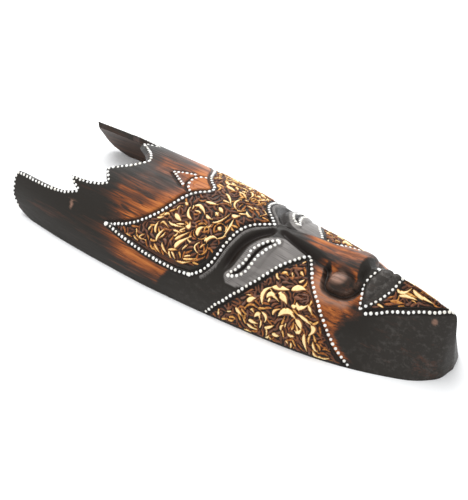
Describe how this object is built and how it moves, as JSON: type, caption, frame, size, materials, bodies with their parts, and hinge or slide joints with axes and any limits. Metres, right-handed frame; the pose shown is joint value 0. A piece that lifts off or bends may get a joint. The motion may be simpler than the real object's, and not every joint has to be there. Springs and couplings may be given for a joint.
{
  "type": "wooden wall mask",
  "caption": "Long hollow-backed wooden wall mask with a horned crown, carved scroll fields, half-closed eyes, blunt nose and pointed chin, lying on its flat back rim",
  "frame": {"origin": "centre of the mask's outline on the plane of its back rim, where it lies on a table or hangs against a wall", "axes": "+Y runs from the chin to the horns, +Z points out of the wall through the face, X is across the face"},
  "size_m": [0.1714, 0.5001, 0.0785],
  "materials": {
    "burnt_wood": "dark burnt brown wood with a satin lacquer, gold-rubbed scrolls and white painted dots"
  },
  "bodies": {
    "root": {"carved_mask": "burnt_wood"}
  },
  "joints": []
}
